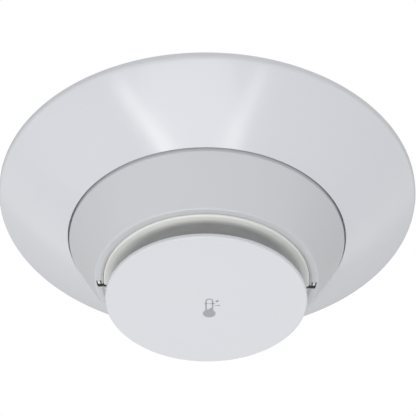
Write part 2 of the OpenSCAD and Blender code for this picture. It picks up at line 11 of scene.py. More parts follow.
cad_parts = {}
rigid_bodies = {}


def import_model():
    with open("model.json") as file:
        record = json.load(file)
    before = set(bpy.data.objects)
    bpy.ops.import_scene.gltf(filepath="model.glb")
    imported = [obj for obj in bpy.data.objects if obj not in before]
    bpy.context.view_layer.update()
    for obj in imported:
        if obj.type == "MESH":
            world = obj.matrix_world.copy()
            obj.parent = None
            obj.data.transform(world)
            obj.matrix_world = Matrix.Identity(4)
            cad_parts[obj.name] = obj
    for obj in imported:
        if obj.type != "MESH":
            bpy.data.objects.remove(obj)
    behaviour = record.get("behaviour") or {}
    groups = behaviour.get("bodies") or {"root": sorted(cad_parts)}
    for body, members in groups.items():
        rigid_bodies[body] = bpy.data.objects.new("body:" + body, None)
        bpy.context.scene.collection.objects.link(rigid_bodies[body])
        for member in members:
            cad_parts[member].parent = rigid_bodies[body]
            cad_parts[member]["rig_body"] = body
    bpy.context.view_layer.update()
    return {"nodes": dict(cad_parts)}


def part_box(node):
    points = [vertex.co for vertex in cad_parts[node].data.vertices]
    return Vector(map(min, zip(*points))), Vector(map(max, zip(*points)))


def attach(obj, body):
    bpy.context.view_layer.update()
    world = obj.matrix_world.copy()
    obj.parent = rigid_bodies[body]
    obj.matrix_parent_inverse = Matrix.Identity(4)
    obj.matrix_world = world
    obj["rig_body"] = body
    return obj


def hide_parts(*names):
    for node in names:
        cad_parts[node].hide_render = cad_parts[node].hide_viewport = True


bl_info = {
    "name": "Heat detector",
    "version": (1, 0, 0),
    "blender": (4, 5, 0),
    "location": "View3D > Sidebar > Detector",
    "description": "Builds the finished pieces and the studio of a ceiling heat detector",
    "category": "Object",
}

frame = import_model()

MM = 0.001
TURN = 2 * math.pi
# Points closer than WELD are one point, an edge sharper than SHARP is rounded or stays sharp in the
# shading, the EDGE values round the edges that have no size of their own, and BITE is how far a
# joined shape runs into its neighbour.
WELD = 1e-6
SHARP = math.radians(40)
TINY_EDGE, SMALL_EDGE, EDGE = 0.15 * MM, 0.2 * MM, 0.3 * MM
BITE = 0.5 * MM
TERMINAL_ANGLES = [45, 135, 225, 315]
COVER_SCREW_ANGLES = [90, 210, 330]
SIDES = (-1, 1)


def low(node):
    """Lowest corner of a node of the frame."""
    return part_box(node)[0]


def high(node):
    """Highest corner of a node of the frame."""
    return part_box(node)[1]


# ---- Sizes and colours that a user would change ----


def length(name, description, millimetres, most=0.2):
    return bpy.props.FloatProperty(
        name=name, description=description, default=millimetres * MM, min=0, max=most,
        unit="LENGTH", subtype="DISTANCE", precision=5)


def signed_length(name, description, millimetres):
    return bpy.props.FloatProperty(
        name=name, description=description, default=millimetres * MM, unit="LENGTH",
        subtype="DISTANCE", precision=5)


def colour(name, description, red, green, blue):
    return bpy.props.FloatVectorProperty(
        name=name, description=description, default=(red, green, blue), min=0, max=1,
        size=3, subtype="COLOR")


def power(name, description, watts):
    return bpy.props.FloatProperty(
        name=name, description=description, default=watts, min=0, max=1000, unit="POWER")


def share(name, description, default):
    return bpy.props.FloatProperty(
        name=name, description=description, default=default, min=0, max=1, subtype="FACTOR")


class SkirtSizes(bpy.types.PropertyGroup):
    lip_height: length("Lip height", "Height of the upright lip around the skirt", 2.4)
    lip_width: length("Lip width", "Width of the lip where it rests on the ceiling", 2.6)
    wall: length("Wall", "Wall of the skirt", 1.8)
    crown: length("Crown", "How far the sloping face bulges between its edges", 0.7)
    collar: length("Collar", "Height of the collar around the hole", 4)
    hole_gap: length("Hole gap", "Gap between the hole and the detector head", 0.35)
    lip_edge: length("Lip edge", "Rounding of the skirt's edge at the lip", 1.8)
    hole_edge: length("Hole edge", "Rounding of the skirt's edge at the hole", 0.2)
    rib_thickness: length("Rib thickness", "Thickness of a stiffening rib", 1.2)
    rib_height: length("Rib height", "Height of a stiffening rib at the hole", 3)
    finger_width: length("Finger width", "Width of a snap finger", 8)
    finger_thickness: length("Finger thickness", "Thickness of a snap finger", 1.4)
    finger_gap: length("Finger gap", "Gap between a snap finger and the base", 0.2)
    finger_top: length("Finger top", "Distance from the ceiling to the end of a snap finger", 4)
    hook_reach: length("Hook reach", "How far a finger's hook reaches over the base", 0.7)
    hook_height: length("Hook height", "Height of a finger's hook", 1.4)
    ribs: bpy.props.IntProperty(name="Ribs", description="Stiffening ribs", default=12, min=6, max=24)
    fingers: bpy.props.IntProperty(name="Fingers", description="Snap fingers", default=6, min=3, max=8)


class HeadSizes(bpy.types.PropertyGroup):
    rim: length("Rim", "Height of the straight rim above the sloping cover", 5.5)
    rim_edge: length("Rim edge", "Rounding of the rim's two edges", 0.5)
    wall: length("Wall", "Wall of the head's cover", 1.8)
    ring_radius: length("Ring radius", "Radius of the ring at the low end of the cover", 40.2)
    ring_edge: length("Ring edge", "Rounding between the sloping cover and the ring's face", 1.1)
    band: length("Band", "Width of the cover's edge on the ring, up to its bevel", 2.1)
    bevel_width: length("Bevel width", "Width of the bevel up to the seam with the throat", 0.9)
    bevel_height: length("Bevel height", "Height of that bevel", 0.4)
    board_gap: length("Board gap", "Distance from the circuit board to the cover's opening", 0.7)
    fit_gap: length("Fit gap", "Gap at the seam and around the pieces fitted in the ring", 0.1)
    throat_band: length("Throat band", "Width of the throat's edge on the ring", 2)
    throat_edge: length("Throat edge", "Rounding of the throat's edge at the seam", 0.7)
    cove_width: length("Curve width", "Width of the curve from the ring to the throat's floor", 8.5)
    cove_height: length("Curve height", "Height of the curve from the ring to the throat's floor", 2.9)
    floor: length("Floor", "Thickness of the throat's floor", 1.6)
    throat_wall: length("Throat wall", "Wall of the throat beside its band", 1.2)
    seat_depth: length("Seat depth", "Depth of the seat that the throat is held against", 33)
    flange: length("Flange", "Thickness of the flange at the top of the throat", 1.6)
    sleeve_hole: length("Sleeve hole", "Radius of the hole for the thermistor's sleeve", 2.7)
    peg_hole: length("Peg hole", "Radius of a hole for one of the cap's pegs", 1.4)
    window_width: length("Window width", "Width of a window's opening around the ring", 3.6)
    window_front: length("Window front", "How far the opening starts in front of the centre line", 0.2)
    window_edge: length("Window edge", "Distance from the ring's edge to the opening's outer side", 0.4)
    window_lean: length("Window lean", "How far the opening's outer side leans in over its width", 0.5)
    bar_width: length("Bar width", "Width of the dark bar beside a light pipe", 1.7)
    bar_reach: length("Bar reach", "Distance from the centre to the dark bar's inner end", 36.1)


class CapSizes(bpy.types.PropertyGroup):
    edge: length("Edge", "Rounding of the cap's lower edge", 0.6)
    thickness: length("Thickness", "Thickness of the cap", 1.7)
    vane: length("Vane", "Thickness of a vane", 1.6)
    vane_start: length("Vane start", "Distance from the centre to a vane's inner end", 12)
    vane_inset: length("Vane inset", "Distance from a vane's outer end to the throat's curve", 3.5)
    peg: length("Peg", "Radius of a vane's peg", 1.3)
    ink: length("Ink", "Thickness of the printed symbol", 0.02)
    bulb: length("Bulb", "Diameter of the symbol's bulb", 4.6)
    stem: length("Stem", "Width of the symbol's stem", 2.9)
    stem_length: length("Stem length", "Length of the symbol's stem above its bulb", 8.6)
    line: length("Line", "Width of the symbol's outline", 0.55)
    level_line: length("Level line", "Width of the symbol's level line", 0.4)
    sign_line: length("Sign line", "Width of the plus and the minus", 0.6)
    column: length("Column", "Height of the filled column above the symbol's bulb", 1.1)
    symbol_x: length("Symbol X", "Place of the symbol's middle", 1.1)
    symbol_y: length("Symbol Y", "Place of the symbol's bulb", 6.6)
    level: length("Level", "Length of the symbol's level line", 4.3)
    level_y: length("Level Y", "Place of the symbol's level line", 0.8)
    sign: length("Minus", "Length of the symbol's minus", 2.2)
    plus: length("Plus", "Size of the symbol's plus", 1.5)
    sign_x: length("Sign X", "Distance from the symbol's middle to its plus and minus", 2.8)
    minus_y: length("Minus Y", "Place of the symbol's minus", 1.85)
    plus_y: signed_length("Plus Y", "Place of the symbol's plus", -0.6)


class SmallSizes(bpy.types.PropertyGroup):
    plastic_edge: length("Plastic edge", "Rounding of the edges of small mouldings", 0.18)
    metal_edge: length("Metal edge", "Rounding of the edges of metal pieces", 0.08)
    mark: length("Mark", "Radius of an ejector pin's mark on the base", 1.6)
    mark_depth: length("Mark depth", "Depth of the marks moulded in the base", 0.15)
    outer_marks: length("Outer marks", "Radius of the outer ring of pin marks", 39)
    inner_marks: length("Inner marks", "Radius of the inner ring of pin marks", 26)
    arrow_tip: length("Arrow tip", "Distance from the centre to the tip of the base's arrow", 33)
    arrow_length: length("Arrow length", "Length of the base's arrow", 5)
    arrow_width: length("Arrow width", "Width of the base's arrow", 4.4)
    numeral: length("Numeral", "Height of the numbers around the address dials", 1.35)
    numeral_ring: length("Numeral ring", "Radius of the ring of numbers", 5.6)
    pointer_tip: length("Pointer tip", "Distance from a dial's centre to its pointer's tip", 3.6)
    pointer_length: length("Pointer length", "Length of a dial's pointer", 0.8)
    pointer_width: length("Pointer width", "Width of a dial's pointer", 1.2)
    paint: length("Paint", "Height of a pointer's paint above its dial", 0.015)
    figure_ink: length("Figure ink", "Half the thickness of the printed numbers", 0.01)
    recess: length("Recess", "Distance from the dials' top to the cover's face around them", 0.3)


class ScrewSizes(bpy.types.PropertyGroup):
    terminal_reach: length("Terminal reach", "Distance from the centre to a terminal screw", 37)
    terminal_head: length("Terminal head", "Radius of a terminal screw's head", 3.4)
    terminal_thread: length("Terminal thread", "Radius of a terminal screw's thread", 1.7)
    terminal_pitch: length("Terminal pitch", "Pitch of a terminal screw's thread", 0.7)
    clamp: length("Clamp", "Thickness of the clamp under a terminal screw's head", 0.6)
    cover_head: length("Cover head", "Radius of a cover screw's head", 2.8)
    cover_head_height: length("Cover head height", "Height of a cover screw's head", 1.8)
    cover_thread: length("Cover thread", "Radius of a cover screw's thread", 1.5)
    cover_pitch: length("Cover pitch", "Pitch of a cover screw's thread", 1.1)
    boss: length("Boss", "Radius of the boss that takes a cover screw", 2.7)
    pilot: length("Pilot", "Radius of the hole in that boss", 1.55)


class Finish(bpy.types.PropertyGroup):
    skirt: colour("Skirt", "Colour of the trim skirt", 0.72, 0.735, 0.765)
    cover: colour("Cover", "Colour of the head's cover and ring", 0.655, 0.668, 0.686)
    # The throat's colour is lighter and warmer than the other white mouldings: painted light in the shaded
    # recess under the cap.
    throat: colour("Throat", "Colour of the throat inside the ring", 0.84, 0.845, 0.81)
    cap: colour("Cap", "Colour of the cap", 0.75, 0.76, 0.79)
    base: colour("Base", "Colour of the mounting base", 0.70, 0.70, 0.69)
    ink: colour("Ink", "Colour of the printed symbol", 0.40, 0.405, 0.42)
    gloss: share("Gloss", "Roughness of the outer mouldings", 0.18)


class StudioSettings(bpy.types.PropertyGroup):
    elevation: bpy.props.FloatProperty(
        name="Elevation", description="How far below the ceiling plane the camera looks up from",
        default=math.radians(41.17), unit="ROTATION", subtype="ANGLE")
    roll: bpy.props.FloatProperty(
        name="Roll", description="Tilt of the camera about its own axis",
        default=-0.0093, unit="ROTATION", subtype="ANGLE")
    distance: length("Distance", "Distance from the camera to the middle of the ceiling face", 697.5, 5)
    lens: bpy.props.FloatProperty(
        name="Lens", description="Focal length in millimetres", default=161.3, min=20, max=300)
    floor_depth: length("Floor depth", "How far below the ceiling face the floor lies", 1500, 5)
    floor: colour("Floor", "Colour of the floor", 0.86, 0.86, 0.87)
    room: share("Room", "Brightness of the light that comes from everywhere", 0.55)
    key: power("Key", "Power of the softbox below", 2.37)
    left_strip: power("Left strip", "Power of the strip light at the left end of the key", 0.72)
    right_strip: power("Right strip", "Power of the strip light at the right end of the key", 0.47)
    left_fill: power("Left fill", "Power of the softbox at the left", 0.45)
    far_fill: power("Far fill", "Power of the softbox beyond the detector", 0.66)
    front: power("Front", "Power of the softbox below the camera", 0.45)
    top: power("Top", "Power of the softbox above", 3)


# ---- Shader expressions ----


class Wire:
    """An output in a node tree. Arithmetic on it adds Math nodes."""

    def __init__(self, tree, socket=None):
        self.tree = tree
        self.socket = socket

    def node(self, kind, settings=None, inputs=None, output=0):
        """Adds a node, sets its settings, then its sockets, and returns one of its outputs."""
        made = self.tree.nodes.new(kind)
        for name, value in (settings or {}).items():
            setattr(made, name, value)
        for name, value in (inputs or {}).items():
            if isinstance(value, Wire):
                self.tree.links.new(value.socket, made.inputs[name])
            else:
                made.inputs[name].default_value = value
        return Wire(self.tree, made.outputs[output] if made.outputs else None)

    def math(self, operation, first, second):
        return self.node("ShaderNodeMath", {"operation": operation}, {0: first, 1: second})

    def __add__(self, other):
        return self.math("ADD", self, other)

    def __sub__(self, other):
        return self.math("SUBTRACT", self, other)

    def __rsub__(self, other):
        return self.math("SUBTRACT", other, self)

    def __mul__(self, other):
        return self.math("MULTIPLY", self, other)

    __radd__ = __add__
    __rmul__ = __mul__

    def ramp(self, start, end):
        """0 below start, 1 above end and smooth between them."""
        return self.node("ShaderNodeMapRange", {"interpolation_type": "SMOOTHSTEP"},
                         {"Value": self, "From Min": start, "From Max": end})

    def blend(self, first, second):
        """A colour between two colours, by this value."""
        return self.node("ShaderNodeMix", {"data_type": "RGBA"}, {0: self, 6: first, 7: second}, 2)

    def noise(self, period, detail=2, roughness=0.5):
        """Noise from 0 to 1 whose lumps are about one period across, in metres."""
        return self.node("ShaderNodeTexNoise", {},
                         {"Vector": self, "Scale": 1 / period, "Detail": detail, "Roughness": roughness})


def new_material(name):
    """An empty node material, with a wire that holds the object's own coordinates in metres."""
    material = bpy.data.materials.new(name)
    material.use_nodes = True
    material.node_tree.nodes.clear()
    start = Wire(material.node_tree)
    place = start.node("ShaderNodeTexCoord", output="Object")
    return material, place


def finish_material(place, shader):
    place.node("ShaderNodeOutputMaterial", {}, {"Surface": shader})


def principled(place, **inputs):
    """A Principled shader; underscores in the names stand for spaces."""
    named = {name.replace("_", " "): value for name, value in inputs.items()}
    return place.node("ShaderNodeBsdfPrincipled", {}, named)


def bump(place, height, distance):
    return place.node("ShaderNodeBump", {}, {"Height": height, "Distance": distance, "Strength": 1.0})


def rgba(values, factor=1.0):
    return (*(min(1.0, v * factor) for v in values), 1)


def moulded(name, shade, roughness, grain=0.35 * MM, depth=0.004 * MM, mottle=0.03):
    """Moulded plastic: a fine spark-eroded grain, faint cloudy flow marks and small changes of gloss."""
    material, place = new_material(name)
    flow = place.noise(22 * MM, 3, 0.55)
    cloud = place.noise(3.5 * MM, 4, 0.6)
    speck = place.noise(grain, 3, 0.65)
    base = flow.blend(rgba(shade, 1 - mottle), rgba(shade, 1 + mottle))
    tone = (cloud * 0.6 + speck * 0.4).blend(base, rgba(shade))
    gloss = speck * 0.08 + cloud * 0.06 + (roughness - 0.07)
    finish_material(place, principled(
        place, Base_Color=tone, Roughness=gloss, IOR=1.5,
        Normal=bump(place, speck, depth)))
    return material


def outer_moulding(name, shade, roughness, mottle=0.012):
    """One of the mouldings that show from below: a finer grain and hardly any flow marks."""
    return moulded(name, shade, roughness, 0.3 * MM, 0.003 * MM, mottle)


def metal(name, shade, tarnish, roughness, streak=0.0):
    """Plated metal: rolled or turned streaks, faint stains and a varying polish."""
    material, place = new_material(name)
    stain = place.noise(2.2 * MM, 4, 0.6)
    fine = place.noise(0.12 * MM, 2, 0.5)
    stretched = place.node("ShaderNodeMapping", {"vector_type": "POINT"},
                           {"Vector": place, "Scale": (1 + streak, 1, 1)})
    scratch = stretched.noise(0.25 * MM, 3, 0.7)
    tone = stain.ramp(0.35, 0.8).blend(rgba(shade), rgba(tarnish))
    finish_material(place, principled(
        place, Base_Color=tone, Metallic=1.0, Roughness=stain * 0.14 + scratch * 0.12 + (roughness - 0.1),
        Normal=bump(place, fine * 0.5 + scratch * 0.5, 0.003 * MM)))
    return material


def clear_plastic():
    """Milky acrylic that spreads the light behind it and is slightly frosted where it was cut."""
    material, place = new_material("clear_acrylic")
    frost = place.noise(0.3 * MM, 3, 0.6)
    tone = frost.blend((0.95, 0.96, 0.97, 1), (1, 1, 1, 1))
    finish_material(place, principled(
        place, Base_Color=tone, Roughness=frost * 0.15 + 0.08, IOR=1.49, Transmission_Weight=0.05,
        Normal=bump(place, frost, 0.004 * MM)))
    return material


def printed(name, shade):
    """Pad-printed ink with a slightly uneven cover."""
    material, place = new_material(name)
    patchy = place.noise(0.4 * MM, 3, 0.6)
    tone = patchy.blend(rgba(shade, 0.95), rgba(shade, 1.05))
    finish_material(place, principled(place, Base_Color=tone, Roughness=patchy * 0.1 + 0.42))
    return material


def board_laminate():
    """Green solder mask with copper tracks showing through it and a woven glass texture."""
    material, place = new_material("solder_mask")
    track = place.node("ShaderNodeTexBrick", {"offset": 0.37, "offset_frequency": 2, "squash": 1.0}, {
        "Vector": place, "Scale": 260.0, "Mortar Size": 0.03, "Brick Width": 0.9, "Row Height": 0.42,
        "Mortar Smooth": 0.2}, "Fac")
    weave = place.noise(0.5 * MM, 2, 0.5)
    mask = weave.blend((0.012, 0.085, 0.035, 1), (0.018, 0.12, 0.05, 1))
    tone = track.blend(mask, (0.03, 0.2, 0.075, 1))
    finish_material(place, principled(
        place, Base_Color=tone, Roughness=weave * 0.1 + 0.25,
        Normal=bump(place, track * 0.8 + weave * 0.2, 0.03 * MM)))
    return material


def dark_moulding(name, shade, roughness):
    """Black or grey moulding compound: matt, with a fine sandy surface."""
    material, place = new_material(name)
    sand = place.noise(0.12 * MM, 3, 0.7)
    patch = place.noise(1.6 * MM, 3, 0.5)
    tone = (sand * 0.5 + patch * 0.5).blend(rgba(shade, 0.75), rgba(shade, 1.3))
    finish_material(place, principled(
        place, Base_Color=tone, Roughness=patch * 0.12 + (roughness - 0.06),
        Normal=bump(place, sand, 0.01 * MM)))
    return material


def resin_bead():
    """A dipped resin bead: glossy, with depth in its brown."""
    material, place = new_material("bead_resin")
    swirl = place.noise(0.6 * MM, 3, 0.6)
    tone = swirl.blend((0.10, 0.035, 0.012, 1), (0.17, 0.065, 0.025, 1))
    finish_material(place, principled(
        place, Base_Color=tone, Roughness=swirl * 0.08 + 0.1, Coat_Weight=0.5,
        Normal=bump(place, swirl, 0.01 * MM)))
    return material


def green_glass():
    """The tinted glass of a reed switch."""
    material, place = new_material("reed_glass")
    ripple = place.noise(0.8 * MM, 2, 0.5)
    tone = ripple.blend((0.55, 0.85, 0.6, 1), (0.7, 0.93, 0.74, 1))
    finish_material(place, principled(
        place, Base_Color=tone, Roughness=ripple * 0.04 + 0.03, IOR=1.52, Transmission_Weight=0.8,
        Normal=bump(place, ripple, 0.01 * MM)))
    return material


def floor_paint(settings):
    """Pale floor that fades to the white of the studio far from the detector."""
    material, place = new_material("pale_floor")
    speckle = place.noise(6 * MM, 3, 0.6)
    tone = speckle.blend(rgba(settings.floor, 0.98), rgba(settings.floor, 1.02))
    near = principled(place, Base_Color=tone, Roughness=speckle * 0.1 + 0.6)
    far = place.node("ShaderNodeEmission", {}, {"Color": (1, 1, 1, 1), "Strength": 1.0})
    reach = place.node("ShaderNodeVectorMath", {"operation": "LENGTH"}, {0: place}, "Value")
    finish_material(place, place.node(
        "ShaderNodeMixShader", {}, {"Fac": reach.ramp(2.0, 6.0), 1: near, 2: far}))
    return material


# ---- Mesh tools ----


def new_object(name, mesh):
    made = bpy.data.objects.new(name, mesh)
    bpy.context.scene.collection.objects.link(made)
    return made


def mesh_of(name, points, faces):
    """A mesh with its normals facing out."""
    mesh = bpy.data.meshes.new(name)
    mesh.from_pydata([tuple(p) for p in points], [], faces)
    shape = bmesh.new()
    shape.from_mesh(mesh)
    bmesh.ops.recalc_face_normals(shape, faces=shape.faces)
    shape.to_mesh(mesh)
    shape.free()
    return mesh


def fillet(corners, steps=6):
    """Points of an outline given as (x, y, rounding) corners."""
    points = []
    for i, (x, y, radius) in enumerate(corners):
        here = Vector((x, y))
        if not radius:
            points.append(here)
            continue
        back = (Vector(corners[i - 1][:2]) - here).normalized()
        on = (Vector(corners[(i + 1) % len(corners)][:2]) - here).normalized()
        half = back.angle(on) / 2
        centre = here + (back + on).normalized() * radius / math.sin(half)
        start = here + back * radius / math.tan(half) - centre
        sweep = math.copysign(math.pi - 2 * half, start.x * on.y - start.y * on.x)
        for k in range(steps + 1):
            turn = Matrix.Rotation(sweep * k / steps, 2)
            points.append(centre + turn @ start)
    return points


def circle(radius, centre=(0, 0), steps=48, start=0.0, span=TURN):
    count = steps if span == TURN else steps + 1
    return [Vector((centre[0] + radius * math.cos(start + span * i / steps),
                    centre[1] + radius * math.sin(start + span * i / steps))) for i in range(count)]


def lathe(name, outline, segments=288):
    """Turns a closed outline of (radius, height) points around the Z axis."""
    points, rings = [], []
    for r, z in outline:
        if r < 1e-7:
            rings.append([len(points)] * segments)
            points.append((0, 0, z))
        else:
            rings.append(list(range(len(points), len(points) + segments)))
            points += [(r * math.cos(TURN * j / segments), r * math.sin(TURN * j / segments), z)
                       for j in range(segments)]
    faces = []
    for ring, after in zip(rings, rings[1:] + rings[:1]):
        for j in range(segments):
            k = (j + 1) % segments
            corners = list(dict.fromkeys((ring[j], ring[k], after[k], after[j])))
            if len(corners) > 2:
                faces.append(corners)
    return new_object(name, mesh_of(name, points, faces))


def prism(name, outline, bottom, top, matrix=Matrix.Identity(4)):
    """Extrudes a closed outline of (x, y) points from one height to another."""
    count = len(outline)
    points = [matrix @ Vector((x, y, z)) for z in (bottom, top) for x, y in outline]
    faces = [tuple(range(count)), tuple(range(count, 2 * count))]
    faces += [(i, (i + 1) % count, count + (i + 1) % count, count + i) for i in range(count)]
    return new_object(name, mesh_of(name, points, faces))


def box(name, lowest, highest):
    """A box between two corners, as a tool to cut with or a blank to round."""
    (x0, y0, z0), (x1, y1, z1) = lowest, highest
    return prism(name, [(x0, y0), (x1, y0), (x1, y1), (x0, y1)], z0, z1)


def stack(name, rows):
    """A closed skin over rows of points, one row above the other, with both ends capped."""
    sides = len(rows[0])
    points = [p for row in rows for p in row]
    faces = [tuple(range(sides)), tuple(range(len(points) - sides, len(points)))]
    for i in range(len(rows) - 1):
        for j in range(sides):
            k = (j + 1) % sides
            faces.append((i * sides + j, i * sides + k, (i + 1) * sides + k, (i + 1) * sides + j))
    return new_object(name, mesh_of(name, points, faces))


def joined(name, parts):
    """One object from several, which are removed."""
    shape = bmesh.new()
    for part in parts:
        part.data.transform(part.matrix_world)
        shape.from_mesh(part.data)
        bpy.data.objects.remove(part)
    mesh = bpy.data.meshes.new(name)
    shape.to_mesh(mesh)
    shape.free()
    return new_object(name, mesh)


def copies(name, part, matrices):
    """One object that holds a copy of a part at each matrix."""
    shape = bmesh.new()
    for matrix in matrices:
        mesh = part.data.copy()
        mesh.transform(matrix)
        shape.from_mesh(mesh)
    bpy.data.objects.remove(part)
    mesh = bpy.data.meshes.new(name)
    shape.to_mesh(mesh)
    shape.free()
    return new_object(name, mesh)


def applied(part):
    """Turns a piece's modifiers into its mesh."""
    graph = bpy.context.evaluated_depsgraph_get()
    mesh = bpy.data.meshes.new_from_object(part.evaluated_get(graph), depsgraph=graph)
    part.modifiers.clear()
    part.data = mesh
    return part


def combine(part, tools, operation):
    """Joins tools to a part (UNION) or cuts them out of it (DIFFERENCE); the tools are removed."""
    tool = joined("tool", tools)
    modifier = part.modifiers.new("combine", "BOOLEAN")
    modifier.operation = operation
    modifier.solver = "EXACT"
    modifier.use_self = True
    modifier.object = tool
    applied(part)
    bpy.data.objects.remove(tool)
    weld(part)
    return part


def weld(part):
    shape = bmesh.new()
    shape.from_mesh(part.data)
    bmesh.ops.remove_doubles(shape, verts=shape.verts, dist=WELD)
    bmesh.ops.dissolve_degenerate(shape, dist=1e-7, edges=shape.edges)
    shape.to_mesh(part.data)
    shape.free()


def soften(part, width, steps=2):
    """Rounds a part's sharp edges and shades its curved faces smooth."""
    if width:
        bevel = part.modifiers.new("edges", "BEVEL")
        bevel.width = width
        bevel.segments = steps
        bevel.limit_method = "ANGLE"
        bevel.angle_limit = SHARP
        bevel.use_clamp_overlap = True
        applied(part)
    part.data.shade_smooth()
    part.data.set_sharp_from_angle(angle=SHARP)
    normals = part.modifiers.new("normals", "WEIGHTED_NORMAL")
    normals.keep_sharp = True
    return part


def blank(name, node):
    """A copy of a node's shape with its flat faces whole, ready for detail."""
    shape = bmesh.new()
    shape.from_mesh(frame["nodes"][node].data)
    bmesh.ops.remove_doubles(shape, verts=shape.verts, dist=WELD)
    bmesh.ops.dissolve_limit(shape, angle_limit=math.radians(0.6), verts=shape.verts, edges=shape.edges)
    mesh = bpy.data.meshes.new(name)
    shape.verts.ensure_lookup_table()
    shape.verts.index_update()
    faces = [[v.index for v in f.verts] for f in shape.faces]
    mesh.from_pydata([tuple(v.co) for v in shape.verts], [], faces)
    shape.free()
    return new_object(name, mesh)


def stand_in(part, node, material):
    """Lets a finished part stand for a node of the frame and ride on that node's body."""
    part.data.materials.clear()
    part.data.materials.append(material)
    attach(part, frame["nodes"][node]["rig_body"])
    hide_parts(node)
    return part


def refined(name, node, material, edge, steps=2, cuts=()):
    """A node's own shape with rounded edges and a finish."""
    part = blank(name, node)
    if cuts:
        combine(part, cuts, "DIFFERENCE")
    soften(part, edge, steps)
    return stand_in(part, node, material)


def around(angle, radius=0.0, height=0.0):
    """The matrix of a place at an angle in degrees and a radius, turned with the angle."""
    return Matrix.Rotation(math.radians(angle), 4, "Z") @ Matrix.Translation((radius, 0, height))


# ---- Trim skirt ----


def skirt_face(sizes, u):
    """Radius and height of the sloping face, from the lip (u = 0) to the hole (u = 1)."""
    outer = high("trim_skirt").x
    hole = high("head_cover").x + sizes.hole_gap
    # The rounding takes most of its radius off the depth of the corner at the hole.
    rounded_off = sizes.hole_edge * 0.8
    drop = -low("trim_skirt").z + rounded_off - sizes.lip_height
    return Vector((outer + u * (hole - outer), -sizes.lip_height - u * drop - 4 * sizes.crown * u * (1 - u)))


def skirt_rib(sizes, rise):
    """One stiffening rib, in the plane of its radius."""
    steps = 14
    start, end = 0.03, 0.95
    bite = Vector((0, rise / 2))
    lower = [skirt_face(sizes, start + (end - start) * i / steps) + bite for i in range(steps + 1)]
    outline = lower + [lower[-1] + bite + Vector((0, sizes.rib_height)), lower[0] + bite]
    half = sizes.rib_thickness / 2
    return prism("rib", outline, -half, half, Matrix.Rotation(math.pi / 2, 4, "X"))


def skirt_finger(sizes):
    """One snap finger with its hook, as part of a turn."""
    base_radius = high("mounting_base").x
    inner = base_radius + sizes.finger_gap
    outer = inner + sizes.finger_thickness
    hook = base_radius - sizes.hook_reach
    bottom = low("trim_skirt").z + sizes.collar - sizes.wall / 2
    top = -sizes.finger_top
    lowest = top - sizes.hook_height
    chamfer = EDGE
    outline = [(inner, bottom), (inner, lowest), (hook, lowest + chamfer / 2), (hook, lowest + 2 * chamfer),
               (inner, top), (outer - chamfer, top), (outer, top - chamfer), (outer, bottom)]
    half = sizes.finger_width / 2 / inner
    steps = 10
    rows = [[Vector((r * math.cos(a), r * math.sin(a), z)) for r, z in outline]
            for a in (half * (2 * k / steps - 1) for k in range(steps + 1))]
    return stack("finger", rows)


class DETECTOR_OT_skirt(bpy.types.Operator):
    """Builds the trim skirt: a shallow cone with a lip, ribs and snap fingers"""
    bl_idname = "detector.skirt"
    bl_label = "Trim skirt"

    def execute(self, context):
        sizes, colours = context.scene.detector_skirt, context.scene.detector_finish
        outer = high("trim_skirt").x
        hole = high("head_cover").x + sizes.hole_gap
        floor = low("trim_skirt").z
        steps = 28
        face = [skirt_face(sizes, i / steps) for i in range(steps + 1)]
        slope = math.atan2(face[0].y - face[-1].y, face[0].x - face[-1].x)
        rise = sizes.wall / math.cos(slope)
        corners = [(outer, 0, TINY_EDGE), (*face[0], sizes.lip_edge)]
        corners += [(*p, 0) for p in face[2:-1]]
        corners += [(hole, face[-1].y, sizes.hole_edge), (hole, floor + sizes.collar, SMALL_EDGE),
                    (hole + sizes.wall, floor + sizes.collar, SMALL_EDGE)]
        inside = [p + Vector((0, rise)) for p in face]
        corners += [(*p, 0) for p in reversed(inside)
                    if hole + sizes.wall < p.x < outer - sizes.lip_width]
        corners += [(outer - sizes.lip_width, 0, TINY_EDGE)]
        shell = lathe("skirt_moulding", fillet(corners))
        rib = skirt_rib(sizes, rise)
        ribs = copies("ribs", rib, [around((i + 0.5) * 360 / sizes.ribs) for i in range(sizes.ribs)])
        finger = skirt_finger(sizes)
        fingers = copies("fingers", finger, [around(i * 360 / sizes.fingers) for i in range(sizes.fingers)])
        combine(shell, [ribs, fingers], "UNION")
        soften(shell, 0)
        stand_in(shell, "trim_skirt",
                 outer_moulding("skirt_plastic", colours.skirt, colours.gloss))
        return {"FINISHED"}


# ---- Mounting base, terminals and tamper lever ----


class DETECTOR_OT_base(bpy.types.Operator):
    """Builds the mounting base with its mould marks"""
    bl_idname = "detector.base"
    bl_label = "Mounting base"

    def execute(self, context):
        sizes, colours = context.scene.detector_small, context.scene.detector_finish
        depth = sizes.mark_depth
        spots = [around(20 + 90 * k, sizes.outer_marks).to_translation() for k in range(4)]
        spots += [around(14 + 90 * k, sizes.inner_marks).to_translation() for k in range(4)]
        marks = [prism("mark", circle(sizes.mark, spot, 32), -depth, depth) for spot in spots]
        tip, half = sizes.arrow_tip, sizes.arrow_width / 2
        tail = tip - sizes.arrow_length
        marks.append(prism("arrow", [(tip, 0), (tail, half), (tail, -half)], -depth, depth))
        refined("base_moulding", "mounting_base",
                moulded("base_plastic", colours.base, 0.45, 0.3 * MM, 0.006 * MM, 0.04),
                sizes.plastic_edge, 2, marks)
        return {"FINISHED"}


def cross_recess(size, depth):
    """A tapered cross to cut into a screw's head, its top at height 0."""
    arms = []
    for turn in (0, math.pi / 2):
        rows = []
        for z, scale in ((-depth, 0.45), (0.0, 1.0), (0.4 * MM, 1.1)):
            x, y = size / 2 * scale, size / 8 * (0.75 + 0.25 * scale)
            matrix = Matrix.Rotation(turn, 4, "Z")
            corners = ((-x, -y), (x, -y), (x, y), (-x, y))
            rows.append([matrix @ Vector((*corner, z)) for corner in corners])
        arms.append(stack("arm", rows))
    return combine(arms[0], arms[1:], "UNION")


